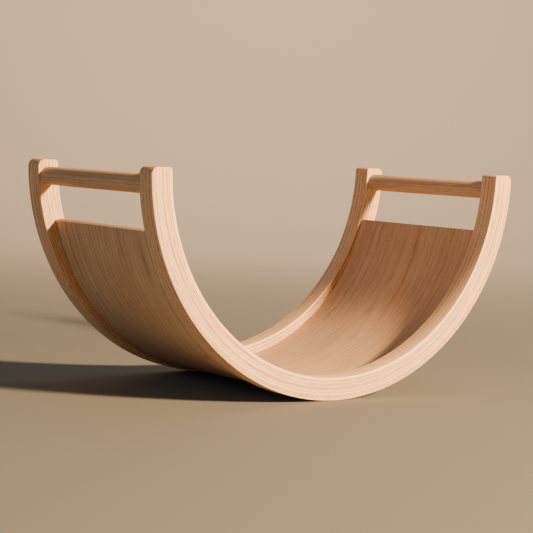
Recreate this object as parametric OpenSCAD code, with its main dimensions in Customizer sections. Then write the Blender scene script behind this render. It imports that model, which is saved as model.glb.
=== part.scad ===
// Rocking arch for a small child.
// Two half-round rails, each glued up from bent strips, carry a curved plywood seat in grooves.
// A round handle joins the rails near each pair of ends, on a shouldered tenon in a blind bore.
// X is the rocking direction with the front at +X, Y is across with the left rail at +Y, Z is up.
// The origin is on the floor under the middle, and the rails' arc is centred straight above it.

/* [Rails] */
// Outer radius of the rails, which is also the overall height
rail_radius = 390; // [340:5:450]
// Thickness of a rail, measured towards the centre of its arc
rail_depth = 39; // [36:0.5:50]
// Width of a rail, measured across the rocker
rail_width = 38; // [30:1:50]
// Overall width over both rails
overall_width = 400; // [300:5:500]
// Bent strips that are glued face to face to make one rail
strip_count = 6; // [4:1:8]
// Radius of the corner on the floor side of each end of a rail, seen from the side
outer_corner = 12; // [5:0.5:16]
// Radius of the corner on the seat side of each end of a rail, seen from the side
inner_corner = 6; // [3:0.5:9]
// Radius of the four long edges of a rail
edge_radius = 1.5; // [0.5:0.5:3]

/* [Seat] */
// Thickness of the whole seat panel
seat_thickness = 12; // [9:0.5:14]
// Thickness of the veneer on each face of the seat
veneer = 1.5; // [0.6:0.1:2.5]
// Wood left between the seat's groove and the floor side of the rail, at the lowest point
groove_cover = 6; // [4:0.5:10]
// How far the centre of the seat's arc lies below the centre of the rails' arc
seat_drop = 20; // [10:1:24]
// Angle from straight down to each end of the seat
seat_half_angle = 76.5; // [65:0.5:78]
// Depth of the groove that holds each side of the seat
groove_depth = 10; // [6:1:16]

/* [Handles] */
// Diameter of a handle's grip
handle_diameter = 32; // [28:1:36]
// Height of the rails' ends above a handle's axis
handle_drop = 28; // [24:1:40]
// Diameter of the tenon at each end of a handle
tenon_diameter = 20; // [16:1:24]
// Length of a tenon
tenon_length = 24; // [15:1:27]

/* [Hidden] */
$fn = 180;
SIDES = ["left", "right"];

rail_inner_radius = rail_radius - rail_depth;
strip_thickness = rail_depth / strip_count;
// Distance from the middle plane to the inner side face of a rail
rail_inner_y = overall_width / 2 - rail_width;
seat_outer_radius = rail_radius - groove_cover - seat_drop;
seat_inner_radius = seat_outer_radius - seat_thickness;
seat_half_width = rail_inner_y + groove_depth;
// A handle's axis runs midway through the depth of the rails
handle_x = sqrt(pow(rail_radius - rail_depth / 2, 2) - pow(handle_drop, 2));
// Glue space past the end of a tenon
bore_space = 1;
// Lead-in chamfer on the end of a tenon
tenon_chamfer = 1.5;
rail_color = "#E3C19A";
face_color = "#D2A676";
core_color = "#E0C39C";
handle_color = "#DBB286";

// Strips are numbered from the floor side, 1, to the seat side of a rail.
function strip_name(side, i) = str(side, "_rail_strip_", i);

// Sweeps a section, drawn as [radius, y], about an axis along Y, half_angle each way from straight down.
module sweep(half_angle) {
    mirror([0, 1, 0])
        rotate([90, 0, 0])
            rotate_extrude(angle = 2 * half_angle, start = 270 - half_angle)
                children();
}

// Extrudes an outline, drawn as [x, z], from y_from to y_to.
module across(y_from, y_to) {
    translate([0, y_to, 0])
        rotate([90, 0, 0])
            linear_extrude(y_to - y_from)
                children();
}

// Section of a whole rail with its four long edges rounded.
module rail_section() {
    for (r = [rail_inner_radius + edge_radius, rail_radius - edge_radius])
        for (y = [rail_inner_y + edge_radius, overall_width / 2 - edge_radius])
            translate([r, y]) circle(edge_radius);
    translate([rail_inner_radius + edge_radius, rail_inner_y])
        square([rail_depth - 2 * edge_radius, rail_width]);
    translate([rail_inner_radius, rail_inner_y + edge_radius])
        square([rail_depth, rail_width - 2 * edge_radius]);
}

// What is cut from a rail's end to round one corner to a radius. arc_radius is the face that the
// corner meets, and outward is 1 at the floor side of the rail or -1 at the seat side.
module corner_waste(arc_radius, outward, corner) {
    reach = arc_radius - outward * corner;
    cx = sqrt(reach * reach - corner * corner);
    tilt = atan(corner / cx);
    difference() {
        polygon([
            [cx, -corner],
            [
                cx + outward * 2 * corner * cos(tilt),
                -corner - outward * 2 * corner * sin(tilt)
            ],
            [cx + outward * 2 * corner, corner],
            [cx, corner]
        ]);
        translate([cx, -corner]) circle(corner);
    }
}

// Both rounded corners at both ends of a rail, as waste through its width.
module end_waste() {
    across(rail_inner_y - 1, overall_width / 2 + 1)
        for (end = [0, 1])
            mirror([end, 0]) {
                corner_waste(rail_radius, 1, outer_corner);
                corner_waste(rail_inner_radius, -1, inner_corner);
            }
}

// A layer of the seat between two radii, reaching half_width each way from the middle plane.
module seat_layer(inner, outer, half_width) {
    translate([0, 0, -seat_drop])
        sweep(seat_half_angle)
            translate([inner, -half_width])
                square([outer - inner, 2 * half_width]);
}

// The blind bores for both handles' tenons, in the left rail.
module handle_bores() {
    for (x = [-handle_x, handle_x])
        translate([x, rail_inner_y - 1, -handle_drop])
            rotate([-90, 0, 0])
                cylinder(d = tenon_diameter, h = 1 + tenon_length + bore_space);
}

// One bent strip of the left rail, about the centre of the arc.
module left_strip(i) {
    difference() {
        sweep(90)
            intersection() {
                rail_section();
                translate([rail_radius - i * strip_thickness, rail_inner_y])
                    square([strip_thickness, rail_width]);
            }
        end_waste();
        seat_layer(seat_inner_radius, seat_outer_radius, seat_half_width);
        handle_bores();
    }
}

module rail_strip(side, i) {
    color(rail_color)
        translate([0, 0, rail_radius])
            mirror([0, side == "right" ? 1 : 0, 0])
                left_strip(i);
}

module seat_face_veneer() {
    color(face_color)
        translate([0, 0, rail_radius])
            seat_layer(seat_inner_radius, seat_inner_radius + veneer, seat_half_width);
}

module seat_core() {
    color(core_color)
        translate([0, 0, rail_radius])
            seat_layer(seat_inner_radius + veneer, seat_outer_radius - veneer, seat_half_width);
}

module seat_back_veneer() {
    color(face_color)
        translate([0, 0, rail_radius])
            seat_layer(seat_outer_radius - veneer, seat_outer_radius, seat_half_width);
}

// A turned handle lying along Y, with a tenon at each end.
module handle(x) {
    shaft = tenon_length - tenon_chamfer;
    color(handle_color)
        translate([x, 0, rail_radius - handle_drop])
            rotate([90, 0, 0]) {
                cylinder(d = handle_diameter, h = 2 * rail_inner_y, center = true);
                for (end = [0, 1])
                    mirror([0, 0, end])
                        translate([0, 0, rail_inner_y]) {
                            cylinder(d = tenon_diameter, h = shaft);
                            translate([0, 0, shaft])
                                cylinder(
                                    h = tenon_chamfer,
                                    d1 = tenon_diameter,
                                    d2 = tenon_diameter - 2 * tenon_chamfer
                                );
                        }
            }
}

module front_handle() {
    handle(handle_x);
}

module back_handle() {
    handle(-handle_x);
}

for (side = SIDES, i = [1 : strip_count])
    rail_strip(side, i);
seat_face_veneer();
seat_core();
seat_back_veneer();
front_handle();
back_handle();
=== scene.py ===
"""Rocking arch in pale ash: bent strips, curved plywood seat and round handles, in a plain studio."""
import math

import bmesh
import bpy
from mathutils import Matrix, Vector


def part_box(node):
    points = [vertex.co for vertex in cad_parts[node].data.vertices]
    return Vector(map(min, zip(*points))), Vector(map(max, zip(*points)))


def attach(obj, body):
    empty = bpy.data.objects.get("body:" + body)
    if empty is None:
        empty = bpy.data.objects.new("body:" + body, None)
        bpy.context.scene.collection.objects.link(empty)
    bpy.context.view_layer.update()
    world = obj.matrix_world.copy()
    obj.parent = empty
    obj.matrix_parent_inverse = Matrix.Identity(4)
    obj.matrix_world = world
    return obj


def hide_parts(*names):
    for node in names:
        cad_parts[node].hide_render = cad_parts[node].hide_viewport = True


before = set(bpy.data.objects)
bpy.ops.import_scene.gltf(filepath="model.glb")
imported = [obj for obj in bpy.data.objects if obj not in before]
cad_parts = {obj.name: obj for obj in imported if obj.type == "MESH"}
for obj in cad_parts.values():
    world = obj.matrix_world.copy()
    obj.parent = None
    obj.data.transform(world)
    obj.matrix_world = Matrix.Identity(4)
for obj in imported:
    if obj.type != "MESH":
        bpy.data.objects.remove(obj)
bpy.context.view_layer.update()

# ---------------------------------------------------------------- sizes, in metres, from the frame
SIDES = ("left", "right")
STRIPS = sum(name.startswith("left_rail_strip_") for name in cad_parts)
RAIL_LOW, RAIL_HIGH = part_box("left_rail_strip_3")
ARC_Z = RAIL_HIGH[2]  # the rails end level with the centre of their arc
RAIL_R = ARC_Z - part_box("left_rail_strip_1")[0][2]
STRIP_T = (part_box(f"left_rail_strip_{STRIPS}")[0][2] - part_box("left_rail_strip_1")[0][2]) / (STRIPS - 1)
RAIL_IN_R = RAIL_R - STRIPS * STRIP_T
RAIL_IN_Y, RAIL_OUT_Y = RAIL_LOW[1], RAIL_HIGH[1]

SEAT_DROP = 0.020  # how far the centre of the seat's arc lies below that of the rails'
SEAT_Z = ARC_Z - SEAT_DROP
SEAT_HALF_ANGLE = math.radians(76.5)
SEAT_R = SEAT_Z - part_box("seat_back_veneer")[0][2]
VENEER_T = SEAT_R - (SEAT_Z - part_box("seat_core")[0][2])
SEAT_CORE_IN_R = SEAT_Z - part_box("seat_face_veneer")[0][2]
SEAT_IN_R = SEAT_CORE_IN_R - VENEER_T
SEAT_T = SEAT_R - SEAT_IN_R
SEAT_HALF_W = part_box("seat_core")[1][1]

GRIP_R = (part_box("front_handle")[1][2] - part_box("front_handle")[0][2]) / 2
TENON_R = 0.010
TENON_TIP = 0.0015  # chamfer on the end of a tenon
BORE_SPACE = 0.001  # glue space past the end of a tenon
GRIP_EASE = 0.0006  # rounding of the grip's shoulders
HANDLE_X, HANDLE_Z = (sum(corner[i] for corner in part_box("front_handle")) / 2 for i in (0, 2))
HANDLE_END_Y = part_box("front_handle")[1][1]

OUTER_CORNER = 0.012
INNER_CORNER = 0.006
LONG_EDGE = 0.0016
SEAT_EDGE = 0.0012
GROOVE_EDGE = SEAT_EDGE / 8
ARC_STEP = 0.0035  # length of one facet along a bent piece
BEVEL_ANGLE = math.radians(60)  # a bar's edges sharper than this are rounded
SHARP_ANGLE = math.radians(32)  # edges sharper than this stay hard when shaded
TURNS = 96  # facets round a turned piece


# ---------------------------------------------------------------- shapes
def bar(length, y_low, y_high, thickness, edge, corners=()):
    """A straight bar along X, y_low to y_high wide, z 0 to thickness, with rounded edges. corners are the
    radii of its ends' bottom and top corners, seen from the side."""
    bm = bmesh.new()
    bmesh.ops.create_cube(bm, size=1)
    bmesh.ops.transform(
        bm,
        matrix=Matrix.Translation((0, (y_low + y_high) / 2, thickness / 2))
        @ Matrix.Diagonal((length, y_high - y_low, thickness, 1)),
        verts=bm.verts,
    )
    for corner, z in zip(corners, (0, thickness)):
        across = [e for e in bm.edges if abs(e.verts[0].co.y - e.verts[1].co.y) > 1e-6
                  and abs(e.verts[0].co.z - z) < 1e-6]
        bmesh.ops.bevel(bm, geom=across, offset=corner, segments=10, profile=0.5, affect="EDGES")
    sharp = [e for e in bm.edges if e.calc_face_angle(0) > BEVEL_ANGLE]
    bmesh.ops.bevel(bm, geom=sharp, offset=edge, segments=4, profile=0.5, affect="EDGES")
    return bm


def cut(bm, point, normal, keep_outer=None):
    """Cuts along a plane. keep_outer is True to keep only the side that the normal points to, or False for
    only the other side, and then the cut is closed. By default both sides stay."""
    geom = bm.verts[:] + bm.edges[:] + bm.faces[:]
    made = bmesh.ops.bisect_plane(
        bm, geom=geom, dist=1e-7, plane_co=point, plane_no=normal,
        clear_inner=keep_outer is True, clear_outer=keep_outer is False,
    )
    if keep_outer is not None:
        edges = [g for g in made["geom_cut"] if isinstance(g, bmesh.types.BMEdge)]
        bmesh.ops.edgeloop_fill(bm, edges=edges)


def bent_layer(name, whole, z_from, z_to, thickness, inner_r, centre_z):
    """One layer of a straight bar, cut out, divided along its length and bent round an arc along Y."""
    bm = whole.copy()
    if z_from > 0:
        cut(bm, (0, 0, z_from), (0, 0, 1), keep_outer=True)
    if z_to < thickness:
        cut(bm, (0, 0, z_to), (0, 0, 1), keep_outer=False)
    half = max(v.co.x for v in bm.verts)
    steps = math.ceil(2 * half / ARC_STEP)
    for i in range(1, steps):
        cut(bm, (-half + 2 * half * i / steps, 0, 0), (1, 0, 0))
    mid_r = inner_r + thickness / 2
    for v in bm.verts:
        angle = v.co.x / mid_r
        r = inner_r + v.co.z
        v.co = Vector((r * math.sin(angle), v.co.y, centre_z - r * math.cos(angle)))
    bmesh.ops.recalc_face_normals(bm, faces=bm.faces)
    return piece(name, bm)


def turned(name, profile, x, z):
    """A solid of revolution along Y. profile is (y, radius) from end to end, closed on the axis."""
    bm = bmesh.new()
    rings = []
    for y, r in profile:
        if r == 0:
            rings.append([bm.verts.new((x, y, z))])
            continue
        angles = [2 * math.pi * i / TURNS for i in range(TURNS)]
        rings.append([bm.verts.new((x + r * math.cos(a), y, z + r * math.sin(a))) for a in angles])
    for low, high in zip(rings, rings[1:]):
        for i in range(TURNS):
            j = (i + 1) % TURNS
            corners = [low[i % len(low)], low[j % len(low)], high[j % len(high)], high[i % len(high)]]
            bm.faces.new(list(dict.fromkeys(corners)))
    bmesh.ops.recalc_face_normals(bm, faces=bm.faces)
    return piece(name, bm)


def piece(name, bm):
    """Puts a bmesh into the scene as a smooth-shaded object with hard edges kept."""
    mesh = bpy.data.meshes.new(name)
    bm.to_mesh(mesh)
    bm.free()
    mesh.shade_smooth()
    mesh.set_sharp_from_angle(angle=SHARP_ANGLE)
    obj = bpy.data.objects.new(name, mesh)
    bpy.context.scene.collection.objects.link(obj)
    return obj


def carve(obj, cutter):
    """Cuts the cutter's shape out of obj for good."""
    bpy.context.view_layer.update()
    mod = obj.modifiers.new("carve", "BOOLEAN")
    mod.operation = "DIFFERENCE"
    mod.solver = "EXACT"
    mod.object = cutter
    bpy.context.view_layer.update()
    evaluated = obj.evaluated_get(bpy.context.evaluated_depsgraph_get())
    mesh = bpy.data.meshes.new_from_object(evaluated)
    obj.modifiers.clear()
    old, obj.data = obj.data, mesh
    bpy.data.meshes.remove(old)


def arc_profile(y, r, corner, steps=6):
    """Points of a rounded shoulder at y that climbs from radius r - corner to r towards the middle."""
    points = []
    for i in range(steps + 1):
        a = math.pi / 2 * i / steps
        points.append((y - corner * (1 - math.cos(a)), r - corner * (1 - math.sin(a))))
    return points


# ---------------------------------------------------------------- wood, as shader nodes
class Graph:
    """Short calls that add nodes to a material and give back their output sockets."""

    def __init__(self, name):
        self.material = bpy.data.materials.new(name)
        self.material.use_nodes = True
        self.tree = self.material.node_tree
        self.shader = self.tree.nodes["Principled BSDF"]

    def put(self, socket, value):
        """Links a socket to another one, or sets its constant."""
        if isinstance(value, bpy.types.NodeSocket):
            self.tree.links.new(value, socket)
        elif value is not None:
            socket.default_value = value

    def node(self, kind, **settings):
        made = self.tree.nodes.new(kind)
        for key, value in settings.items():
            setattr(made, key, value)
        return made

    def math(self, operation, a, b=None):
        made = self.node("ShaderNodeMath", operation=operation)
        for socket, value in zip(made.inputs, (a, b)):
            self.put(socket, value)
        return made.outputs[0]

    def length(self, a, b):
        """The square root of a squared plus b squared."""
        return self.math("SQRT", self.math("ADD", self.math("MULTIPLY", a, a), self.math("MULTIPLY", b, b)))

    def ramp(self, value, low, high, to_low=0.0, to_high=1.0):
        """Smoothly takes value from low..high to to_low..to_high."""
        made = self.node("ShaderNodeMapRange", interpolation_type="SMOOTHSTEP")
        for socket, v in zip(made.inputs, (value, low, high, to_low, to_high)):
            self.put(socket, v)
        return made.outputs[0]

    def vector(self, x, y, z):
        made = self.node("ShaderNodeCombineXYZ")
        for socket, value in zip(made.inputs, (x, y, z)):
            self.put(socket, value)
        return made.outputs[0]

    def noise(self, at, detail=2.0, roughness=0.5):
        made = self.node("ShaderNodeTexNoise")
        self.put(made.inputs["Vector"], at)
        self.put(made.inputs["Scale"], 1.0)
        self.put(made.inputs["Detail"], detail)
        self.put(made.inputs["Roughness"], roughness)
        return made.outputs["Fac"]

    def random(self, value):
        made = self.node("ShaderNodeTexWhiteNoise", noise_dimensions="1D")
        self.put(made.inputs["W"], value)
        return made.outputs["Value"]

    def mix(self, factor, a, b):
        made = self.node("ShaderNodeMix", data_type="RGBA")
        self.put(made.inputs["Factor"], factor)
        for socket, value in ((made.inputs["A"], a), (made.inputs["B"], b)):
            self.put(socket, (*value, 1.0) if isinstance(value, tuple) else value)
        return made.outputs["Result"]

    def coordinates(self, kind):
        split = self.node("ShaderNodeSeparateXYZ")
        self.put(split.inputs[0], self.node("ShaderNodeTexCoord").outputs[kind])
        return split.outputs

    def position(self):
        return self.coordinates("Object")

    def normal(self):
        return self.coordinates("Normal")


# Each wood's colours are the pale ground, the ring line, the broad darker tone and the open pores.
PALE = (0.80, 0.55, 0.35)
RING = (0.24, 0.08, 0.028)
TONE = (0.68, 0.43, 0.25)
PORE = (0.20, 0.085, 0.04)
RAIL_COLOURS = (PALE, RING, TONE, PORE)
VENEER_COLOURS = ((0.65, 0.45, 0.30), (0.26, 0.12, 0.055), (0.55, 0.345, 0.21), PORE)
PLY_COLOURS = ((0.60, 0.45, 0.33), RING, (0.50, 0.36, 0.25), PORE)
HANDLE_COLOURS = ((0.66, 0.44, 0.28), (0.25, 0.12, 0.055), (0.52, 0.32, 0.185), PORE)
LIGHT_STRIP = (0.86, 0.62, 0.41)
RUBBED_EDGE = (0.86, 0.66, 0.47)
CROSSED_PLY = (0.22, 0.13, 0.08)

CORE_PLIES = 5
END_GRAIN = (0.55, 0.95)  # how squarely a face cuts the grain where end grain starts and is full


def bent_axes(g, centre_z, mid_r):
    """Distance along the arc, across it and out from its centre, and how squarely a face cuts the grain."""
    x, y, z = g.position()
    down = g.math("SUBTRACT", centre_z, z)
    angle = g.math("ARCTAN2", x, down)
    along = g.math("MULTIPLY", angle, mid_r)
    radius = g.length(x, down)
    nx, _, nz = g.normal()
    facing = g.math("ADD", g.math("MULTIPLY", nx, g.math("COSINE", angle)),
                    g.math("MULTIPLY", nz, g.math("SINE", angle)))
    return along, y, radius, g.ramp(g.math("ABSOLUTE", facing), *END_GRAIN)


def straight_axes(g, centre_z):
    """The same for a handle, whose grain runs along Y. The two handles read different stretches of it."""
    stretch_apart = 1.7
    x, y, z = g.position()
    _, ny, _ = g.normal()
    side = g.math("SIGN", x)
    along = g.math("ADD", y, g.math("MULTIPLY", side, stretch_apart))
    across = g.math("SUBTRACT", x, g.math("MULTIPLY", side, HANDLE_X))
    out = g.math("SUBTRACT", z, centre_z)
    return along, across, out, g.ramp(g.math("ABSOLUTE", ny), *END_GRAIN)


def drawn_noise(g, axes, lengthways, crossways, shifts, detail=2.0, roughness=0.5):
    """Noise drawn out along the grain. lengthways and crossways are its scales per metre, and shifts moves it
    along the grain and across it."""
    along, across, out, _ = axes
    at = g.vector(
        g.math("ADD", g.math("MULTIPLY", along, lengthways), shifts[0]),
        g.math("ADD", g.math("MULTIPLY", across, crossways), shifts[1]),
        g.math("MULTIPLY", out, crossways),
    )
    return g.noise(at, detail, roughness)


def growth_rings(g, axes, shift, pith, spacing, wander, sharp):
    """How far a point is into the dark and the late wood of its ring. The rings are centred on pith, as
    (across, out), and sway and tremble along the grain."""
    _, across, out, _ = axes
    slow = drawn_noise(g, axes, 3.2, 9.0, (shift, 0.0), detail=1.5)
    sway = g.math("MULTIPLY", g.math("SUBTRACT", slow, 0.5), 2 * wander)
    quick = drawn_noise(g, axes, 22.0, 60.0, (0.0, shift))
    tremble = g.math("MULTIPLY", g.math("SUBTRACT", quick, 0.5), 0.3 * spacing)
    distance = g.length(g.math("SUBTRACT", across, pith[0]), g.math("SUBTRACT", out, pith[1]))
    distance = g.math("ADD", g.math("ADD", distance, sway), tremble)
    phase = g.math("FRACT", g.math("DIVIDE", distance, spacing))
    dark = g.math("MULTIPLY", g.ramp(phase, 0.0, 0.06), g.ramp(phase, sharp, sharp + 0.22, 1.0, 0.0))
    late = g.ramp(phase, 0.45, 1.0)
    return dark, late


def wood_surface(g, fibre, open_pore, end):
    """A satin finish with the fibres and pores in relief, duller on end grain."""
    height = g.math("SUBTRACT", g.math("MULTIPLY", fibre, 0.5), g.math("MULTIPLY", open_pore, 0.9))
    bump = g.node("ShaderNodeBump")
    g.put(bump.inputs["Height"], height)
    g.put(bump.inputs["Strength"], 0.35)
    g.put(bump.inputs["Distance"], 0.0002)
    g.put(g.shader.inputs["Normal"], bump.outputs[0])
    rough = g.math("ADD", g.ramp(fibre, 0.3, 0.7, 0.46, 0.58), g.math("MULTIPLY", end, 0.16))
    g.put(g.shader.inputs["Roughness"], rough)
    g.put(g.shader.inputs["Specular IOR Level"], 0.38)


def wood(g, axes, seed, pith, spacing, colours, wander=0.004, line=0.5, sharp=0.16, streaks=0.5, pores=0.5):
    """Fills in a wood shader's surface and gives back its colour before any extra marks. axes is (along,
    across, out, end). pith is where the rings are centred, as (across, out), and spacing is a ring's width.
    line, streaks and pores are strengths, and sharp is how much of a ring its dark line fills."""
    pale, ring_line, tone, pore = colours
    end = axes[3]
    shift = g.math("MULTIPLY", seed, 7.3)
    dark, late = growth_rings(g, axes, shift, pith, spacing, wander, sharp)
    broad = drawn_noise(g, axes, 4.0, 34.0, (shift, 0.0))
    patches = drawn_noise(g, axes, 11.0, 130.0, (shift, 0.0))
    dashes = drawn_noise(g, axes, 150.0, 420.0, (shift, 0.0), detail=1.5)
    fibre = drawn_noise(g, axes, 26.0, 900.0, (0.0, shift), detail=3.0, roughness=0.6)
    specks = drawn_noise(g, axes, 140.0, 1500.0, (0.0, shift), detail=1.0, roughness=0.4)
    strength = g.math("MULTIPLY", g.ramp(patches, 0.32, 0.60, 0.55, 1.0),
                      g.ramp(dashes, 0.38, 0.56, 0.35, 1.0))
    lined = g.math("MULTIPLY", dark, g.math("MULTIPLY", strength, line))
    open_pore = g.math("MULTIPLY", g.ramp(specks, 0.60, 0.70),
                       g.math("ADD", 0.25, g.math("MULTIPLY", dark, 0.75)))

    colour = g.mix(g.ramp(broad, 0.35, 0.72, 0.0, 0.75), pale, tone)
    colour = g.mix(g.math("MULTIPLY", late, g.math("MULTIPLY", line, 0.3)), colour, tone)
    colour = g.mix(lined, colour, ring_line)
    colour = g.mix(g.ramp(fibre, 0.42, 0.72, 0.0, 0.55 * streaks), colour, ring_line)
    colour = g.mix(g.math("MULTIPLY", open_pore, pores), colour, pore)
    colour = g.mix(g.math("MULTIPLY", end, 0.5), colour, ring_line)
    wood_surface(g, fibre, open_pore, end)
    return colour


def strip_pith(g, across, mid_r, seed, seed_2):
    """Where one strip's rings are centred: below the rail and to one side of it, at random."""
    middle = g.math("MULTIPLY", g.math("SIGN", across), (RAIL_IN_Y + RAIL_OUT_Y) / 2)
    coin = g.math("FRACT", g.math("MULTIPLY", seed, 9.0))
    way = g.math("SIGN", g.math("SUBTRACT", coin, 0.5))
    aside = g.math("ADD", 0.05, g.math("MULTIPLY", seed, 0.03))
    below = g.math("MULTIPLY", seed_2, 0.02)
    return (g.math("ADD", middle, g.math("MULTIPLY", way, aside)), g.math("ADD", mid_r - 0.09, below))


def edge_distance(g, across, out):
    """Distance to the nearest side of a rail plus distance to the nearest curved face."""
    sideways = g.math("ABSOLUTE", across)
    from_side = g.math("MINIMUM", g.math("SUBTRACT", sideways, RAIL_IN_Y),
                       g.math("SUBTRACT", RAIL_OUT_Y, sideways))
    from_curve = g.math("MINIMUM", g.math("SUBTRACT", out, RAIL_IN_R), g.math("SUBTRACT", RAIL_R, out))
    return g.math("ADD", from_side, from_curve)


def rail_wood():
    """Each strip has its own grain and shade, with a thin glue line where two strips meet."""
    g = Graph("rail_ash")
    mid_r = (RAIL_R + RAIL_IN_R) / 2
    axes = bent_axes(g, ARC_Z, mid_r)
    along, across, out, _ = axes
    depth = g.math("DIVIDE", g.math("SUBTRACT", RAIL_R, out), STRIP_T)
    strip = g.math("FLOOR", g.math("MINIMUM", g.math("MAXIMUM", depth, 0.01), STRIPS - 0.01))
    number = g.math("ADD", strip, g.math("MULTIPLY", g.math("SIGN", across), 31.0))
    seed = g.random(number)
    seed_2 = g.random(g.math("ADD", number, 0.5))
    pith = strip_pith(g, across, mid_r, seed, seed_2)
    colour = wood(g, axes, seed, pith, 0.0060, RAIL_COLOURS, line=1.0, sharp=0.13, pores=0.9)
    shade = g.math("MULTIPLY", g.math("SUBTRACT", seed_2, 0.5), 0.34)
    colour = g.mix(g.ramp(shade, 0.0, 0.17, 0.0, 0.34), colour, TONE)
    colour = g.mix(g.ramp(shade, -0.17, 0.0, 0.26, 0.0), colour, LIGHT_STRIP)

    joint = g.math("ROUND", g.math("MINIMUM", g.math("MAXIMUM", depth, 1.0), STRIPS - 1.0))
    gap = g.math("MULTIPLY", g.math("ABSOLUTE", g.math("SUBTRACT", depth, joint)), STRIP_T)
    waver = g.noise(g.vector(g.math("MULTIPLY", along, 40.0), g.math("MULTIPLY", joint, 9.1), across), 3.0)
    glue = g.math("MULTIPLY", g.ramp(gap, 0.0002, 0.0009, 1.0, 0.0), g.ramp(waver, 0.3, 0.7, 0.15, 0.8))
    colour = g.mix(glue, colour, RING)
    near_edge = g.ramp(edge_distance(g, across, out), 0.0008, 0.0032, 1.0, 0.0)
    rubbed = g.math("MULTIPLY", near_edge, g.ramp(waver, 0.35, 0.65, 0.1, 0.5))
    colour = g.mix(rubbed, colour, RUBBED_EDGE)
    g.put(g.shader.inputs["Base Color"], colour)
    return g.material


def seat_veneer_wood():
    """Flat-cut veneer: nearly straight lines, with a faint arched figure along one place on each face."""
    g = Graph("seat_ash_veneer")
    mid_r = (SEAT_R + SEAT_IN_R) / 2
    along, across, out, end = bent_axes(g, SEAT_Z, mid_r)
    back = g.math("GREATER_THAN", out, mid_r)
    seed = g.math("ADD", 0.21, g.math("MULTIPLY", back, 0.55))
    centre = g.math("ADD", 0.02, g.math("MULTIPLY", back, -0.13))
    uneven = g.noise(g.vector(g.math("MULTIPLY", along, 0.5), g.math("MULTIPLY", across, 16.0), seed), 2.0)
    across_leaf = g.math("ADD", across, g.math("MULTIPLY", g.math("SUBTRACT", uneven, 0.5), 0.05))
    drift = g.math("ADD", g.math("MULTIPLY", along, 2.6), g.math("MULTIPLY", seed, 9.0))
    bend = g.noise(g.vector(drift, seed, 0.0), 1.5)
    rise = g.math("ADD", g.math("MULTIPLY", along, 0.035), g.math("MULTIPLY", bend, 0.06))
    off_centre = g.math("ABSOLUTE", g.math("SUBTRACT", across_leaf, centre))
    line = g.math("MULTIPLY", g.ramp(off_centre, 0.01, 0.06, 0.6, 1.0),
                  g.math("ADD", 0.54, g.math("MULTIPLY", back, 0.46)))
    pith = (centre, g.math("SUBTRACT", 0.0, rise))
    colour = wood(g, (along, across_leaf, 0.0, end), seed, pith, 0.0125, VENEER_COLOURS,
                  wander=0.0035, line=line, sharp=0.07, streaks=0.8)
    g.put(g.shader.inputs["Base Color"], colour)
    return g.material


def seat_core_wood():
    """Thin plies that run along and across in turn, seen on the seat's edges."""
    g = Graph("seat_plywood_core")
    axes = bent_axes(g, SEAT_Z, (SEAT_R + SEAT_IN_R) / 2)
    ply_t = (SEAT_R - VENEER_T - SEAT_CORE_IN_R) / CORE_PLIES
    ply = g.math("DIVIDE", g.math("SUBTRACT", axes[2], SEAT_CORE_IN_R), ply_t)
    count = g.math("FLOOR", ply)
    crossed = g.math("MODULO", count, 2.0)
    seed = g.random(count)
    colour = wood(g, axes, seed, (0.3, 0.1), 0.004, PLY_COLOURS, line=0.3)
    colour = g.mix(g.math("MULTIPLY", crossed, 0.45), colour, CROSSED_PLY)
    glue = g.math("ABSOLUTE", g.math("SUBTRACT", ply, g.math("ROUND", ply)))
    colour = g.mix(g.ramp(glue, 0.03, 0.10, 0.6, 0.0), colour, PORE)
    g.put(g.shader.inputs["Base Color"], colour)
    return g.material


def handle_wood():
    """Turned from straight-grained wood, each handle with its own grain."""
    g = Graph("handle_ash")
    axes = straight_axes(g, HANDLE_Z)
    seed = g.math("MULTIPLY", g.math("SIGN", g.position()[0]), 0.37)
    colour = wood(g, axes, seed, (0.03, -0.045), 0.0044, HANDLE_COLOURS, wander=0.003, streaks=0.7)
    g.put(g.shader.inputs["Base Color"], colour)
    return g.material


# ---------------------------------------------------------------- the object
def finish_piece(obj, material, node):
    """Gives a piece its material and puts it in the place of a CAD node."""
    obj.data.materials.clear()
    obj.data.materials.append(material)
    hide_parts(node)
    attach(obj, "root")


def arc_length(half_angle, inner_r, outer_r):
    """Length of a bent bar along the middle of its thickness, half_angle each way from straight down."""
    return half_angle * (inner_r + outer_r)


def seat_bar(edge):
    """The whole seat panel before it is bent."""
    length = arc_length(SEAT_HALF_ANGLE, SEAT_IN_R, SEAT_R)
    return bar(length, -SEAT_HALF_W, SEAT_HALF_W, SEAT_T, edge)


def groove_cutter(name):
    """The seat's whole panel as one solid, for the grooves in the rails."""
    whole = seat_bar(GROOVE_EDGE)
    made = bent_layer(name, whole, 0, SEAT_T, SEAT_T, SEAT_IN_R, SEAT_Z)
    whole.free()
    return made


def bore_cutter(name, x):
    """A rod through both rails, for the bores that hold one handle's tenons."""
    reach = HANDLE_END_Y + BORE_SPACE
    profile = [(-reach, 0), (-reach, TENON_R), (reach, TENON_R), (reach, 0)]
    return turned(name, profile, x, HANDLE_Z)


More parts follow.
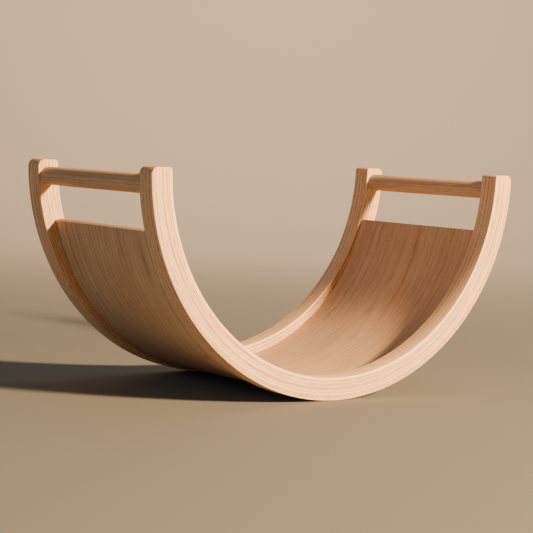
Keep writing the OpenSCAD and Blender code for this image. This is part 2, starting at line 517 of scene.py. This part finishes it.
def build_rails(material, cutters):
    """Cuts each rail's bar into strips, from 1 at the floor side, with the grooves and bores carved out."""
    depth = RAIL_R - RAIL_IN_R
    length = arc_length(math.pi / 2, RAIL_IN_R, RAIL_R)
    for side in SIDES:
        y_low, y_high = (RAIL_IN_Y, RAIL_OUT_Y) if side == "left" else (-RAIL_OUT_Y, -RAIL_IN_Y)
        whole = bar(length, y_low, y_high, depth, LONG_EDGE, (INNER_CORNER, OUTER_CORNER))
        for i in range(1, STRIPS + 1):
            z_from = depth - i * STRIP_T if i < STRIPS else 0
            z_to = depth - (i - 1) * STRIP_T
            obj = bent_layer(f"{side}_strip_{i}", whole, z_from, z_to, depth, RAIL_IN_R, ARC_Z)
            for cutter in cutters:
                carve(obj, cutter)
            finish_piece(obj, material, f"{side}_rail_strip_{i}")
        whole.free()


def build_seat(veneer, core):
    """A veneer on each face of a core of plies, all cut from one bar so that their edges line up."""
    whole = seat_bar(SEAT_EDGE)
    layers = (
        ("seat_face", "seat_face_veneer", veneer, "seat_veneer", 0, VENEER_T),
        ("seat_plies", "seat_core", core, "seat_core", VENEER_T, SEAT_T - VENEER_T),
        ("seat_back", "seat_back_veneer", veneer, "seat_veneer", SEAT_T - VENEER_T, SEAT_T),
    )
    for name, node, material, slot, low, high in layers:
        obj = bent_layer(name, whole, low, high, SEAT_T, SEAT_IN_R, SEAT_Z)
        finish_piece(obj, material, node)
    whole.free()


def build_handles(material):
    """Turns both handles, each with a shouldered tenon at both ends."""
    half = [
        (HANDLE_END_Y, 0),
        (HANDLE_END_Y, TENON_R - TENON_TIP),
        (HANDLE_END_Y - TENON_TIP, TENON_R),
        (RAIL_IN_Y, TENON_R),
    ]
    half += arc_profile(RAIL_IN_Y, GRIP_R, GRIP_EASE)
    steps = 24
    grip_y = RAIL_IN_Y - GRIP_EASE
    grip = [(grip_y - 2 * grip_y * i / steps, GRIP_R) for i in range(1, steps)]
    profile = half + grip + [(-y, r) for y, r in reversed(half)]
    for name, x in (("front", HANDLE_X), ("back", -HANDLE_X)):
        obj = turned(f"{name}_grip", profile, x, HANDLE_Z)
        finish_piece(obj, material, f"{name}_handle")


cutters = [
    groove_cutter("groove_cut"),
    bore_cutter("front_cut", HANDLE_X),
    bore_cutter("back_cut", -HANDLE_X),
]
build_rails(rail_wood(), cutters)
for cutter in cutters:
    bpy.data.objects.remove(cutter)
build_seat(seat_veneer_wood(), seat_core_wood())
build_handles(handle_wood())


# ---------------------------------------------------------------- studio
FLOOR_R = 4.4
BEND_R = 1.6
BEND_STEPS = 16
WALL_TOP = 6.0
PAPER = (0.145, 0.147, 0.150)

CAMERA_PLACE = (-1.767, -2.349, ARC_Z + 0.048)
CAMERA_YAW = math.radians(36.76)  # from straight along +Y, towards +X
CAMERA_PITCH = math.radians(-4.40)
CAMERA_ROLL = math.radians(2.24)
SENSOR_WIDTH = 36.0  # in millimetres, as the lens is
LENS = 111.0

# Each lamp's name, the direction it shines from, the point it shines on, its distance from that point, the
# length of its sides, its watts and its colour. The washes light the walls and the fills light the object,
# and both are named after the object's own sides: the front is +X and the left is +Y.
LAMPS = (
    ("key", (0.88, -2.55, 1.26), (0, 0, ARC_Z / 2), 5.0, 0.6, 1400, (1.0, 0.655, 0.32)),
    ("front_left_wash", (-0.4, -0.55, 0.6), (3.5, 4.7, 1.3), 3.2, 1.6, 700, (1.0, 0.645, 0.375)),
    ("back_wash", (0.8, -0.1, 0.6), (-5.8, 0.6, 1.3), 3.2, 1.6, 90, (0.90, 0.93, 1.0)),
    ("right_wash", (-0.3, 0.8, 0.6), (1.8, -5.6, 1.3), 3.2, 1.6, 90, (0.95, 0.92, 0.90)),
    ("top_fill", (0.3, 0.3, 1.0), (0, 0, ARC_Z), 2.5, 1.2, 9, (0.85, 0.93, 1.0)),
    ("back_fill", (-1.0, 0.3, 0.4), (-0.3, 0, ARC_Z / 2), 4.0, 1.6, 16, (0.60, 0.80, 1.0)),
)
SKY = (0.80, 0.92, 1.0, 1.0)
SKY_STRENGTH = 0.035


def plain(name, colour, roughness):
    """An even material, very slightly mottled."""
    g = Graph(name)
    mottled = g.noise(g.node("ShaderNodeTexCoord").outputs["Object"], 2.0)
    g.put(g.shader.inputs["Base Color"], g.mix(mottled, tuple(0.97 * c for c in colour), colour))
    g.put(g.shader.inputs["Roughness"], roughness)
    return g.material


def backdrop():
    """A pale floor that curves up into a wall all the way round, so every view has the same background."""
    section = [(0.001, 0.0), (FLOOR_R, 0.0)]
    for i in range(1, BEND_STEPS + 1):
        a = math.pi / 2 * i / BEND_STEPS
        section.append((FLOOR_R + BEND_R * math.sin(a), BEND_R * (1 - math.cos(a))))
    section.append((FLOOR_R + BEND_R, WALL_TOP))
    bm = bmesh.new()
    rows = []
    for i in range(TURNS):
        a = 2 * math.pi * i / TURNS
        rows.append([bm.verts.new((r * math.cos(a), r * math.sin(a), z)) for r, z in section])
    for row, after in zip(rows, rows[1:] + rows[:1]):
        for i in range(len(section) - 1):
            bm.faces.new((row[i], row[i + 1], after[i + 1], after[i]))
    bm.faces.new([row[0] for row in rows])
    bmesh.ops.recalc_face_normals(bm, faces=bm.faces)
    obj = piece("studio_sweep", bm)
    obj.data.materials.append(plain("pale_paper", PAPER, 0.9))


def area_light(name, direction, target, distance, size, watts, colour):
    """A square lamp that shines on a point from a direction."""
    lamp = bpy.data.lights.new(name, "AREA")
    lamp.size = size
    lamp.energy = watts
    lamp.color = colour
    obj = bpy.data.objects.new(name, lamp)
    target = Vector(target)
    obj.location = target + Vector(direction).normalized() * distance
    obj.rotation_euler = (target - obj.location).to_track_quat("-Z", "Y").to_euler()
    obj.visible_camera = False
    bpy.context.scene.collection.objects.link(obj)


def camera():
    """Looks from behind and to the right of the object, from a little above the rails' ends."""
    data = bpy.data.cameras.new("camera")
    data.sensor_width = SENSOR_WIDTH
    data.lens = LENS
    obj = bpy.data.objects.new("camera", data)
    forward = Vector((math.sin(CAMERA_YAW) * math.cos(CAMERA_PITCH),
                      math.cos(CAMERA_YAW) * math.cos(CAMERA_PITCH), math.sin(CAMERA_PITCH)))
    level = Vector((math.cos(CAMERA_YAW), -math.sin(CAMERA_YAW), 0))
    right = (Matrix.Rotation(-CAMERA_ROLL, 3, forward) @ level).normalized()
    up = right.cross(forward)
    turn = Matrix((right, up, -forward)).transposed()
    obj.matrix_world = Matrix.Translation(CAMERA_PLACE) @ turn.to_4x4()
    bpy.context.scene.collection.objects.link(obj)
    bpy.context.scene.camera = obj


def sky():
    """A faint even light from all round."""
    world = bpy.data.worlds.new("studio")
    world.use_nodes = True
    background = world.node_tree.nodes["Background"]
    background.inputs["Color"].default_value = SKY
    background.inputs["Strength"].default_value = SKY_STRENGTH
    bpy.context.scene.world = world


camera()
backdrop()
for lamp in LAMPS:
    area_light(*lamp)
sky()
